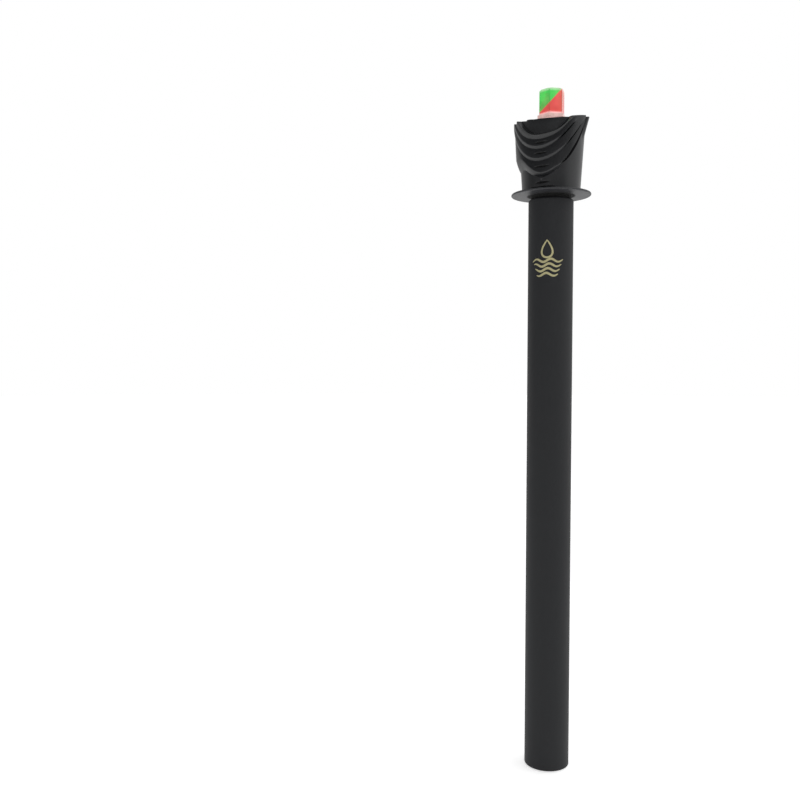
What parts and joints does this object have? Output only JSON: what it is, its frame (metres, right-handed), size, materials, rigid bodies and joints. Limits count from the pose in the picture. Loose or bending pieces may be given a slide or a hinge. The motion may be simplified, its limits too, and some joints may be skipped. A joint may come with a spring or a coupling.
{
  "type": "submersible aquarium heater",
  "caption": "Slim black tube heater for an aquarium, with a flanged head shaped like a draped shroud and a clear hexagonal temperature dial that lights from below.",
  "frame": {"origin": "centre of the tube's flat closed end", "axes": "+Z along the tube up to the dial; -Y towards the middle of the drape, which is the front; +Y towards the cord inlet; +X to the right of the front"},
  "size_m": [0.0406, 0.0406, 0.3499],
  "materials": {
    "tube_polymer": "fine-textured moulded",
    "seal_rubber": "smooth",
    "head_polymer": "satin moulded",
    "crown_polymer": "satin moulded",
    "clear_polycarbonate": "clear polished",
    "spring_steel": "bright",
    "ivory_plastic": "moulded",
    "grey_plastic": "moulded",
    "circuit_board": "solder-masked",
    "green_lens": "clear tinted",
    "red_lens": "clear tinted",
    "gold_pins": "gold-flashed",
    "plated_steel": "nickel-plated",
    "yellow_film": "moulded case",
    "blue_sleeved_can": "shrink-sleeved",
    "black_epoxy": "moulded epoxy",
    "resistor_body": "lacquered",
    "silicone": "soft moulded",
    "fuse_case": "plated case",
    "glass_sleeving": "woven glass sleeving",
    "steatite": "unglazed ceramic",
    "nickel_chrome": "drawn wire",
    "mica": "wound mica paper"
  },
  "bodies": {
    "housing": {"heater_tube": "tube_polymer", "tube_seals": "seal_rubber", "flange_collar": "head_polymer", "crown_shroud": "crown_polymer", "head_gasket": "seal_rubber", "head_plate": "head_polymer", "cord_grommet": "seal_rubber", "gland_nut": "head_polymer", "pot_body": "grey_plastic", "pot_cover": "spring_steel", "dial_board": "circuit_board", "board_screws": "spring_steel", "green_lamp": "green_lens", "red_lamp": "red_lens", "link_header": "gold_pins", "control_board": "circuit_board", "board_carrier": "ivory_plastic", "mains_terminals": "plated_steel", "film_capacitor": "yellow_film", "smoothing_capacitor": "blue_sleeved_can", "triac": "black_epoxy", "controller_chip": "black_epoxy", "resistors": "resistor_body", "temperature_probe": "black_epoxy", "heat_baffle": "silicone", "thermal_fuse": "fuse_case", "lead_sleeves": "glass_sleeving", "core_discs": "steatite", "element_core": "steatite", "coil_bands": "plated_steel", "heating_coil": "nickel_chrome", "return_rod": "nickel_chrome", "mica_sleeve": "mica", "core_pad": "silicone"},
    "dial": {"dial_knob": "clear_polycarbonate", "stem_seals": "seal_rubber", "stem_clip": "spring_steel", "pot_rotor": "ivory_plastic"}
  },
  "joints": [
    {"name": "dial_turn", "type": "hinge", "parent": "housing", "child": "dial", "pos_m": [0, 0, 0.3355], "axis": [0, 0, 1], "range_deg": [-135, 135]}
  ]
}
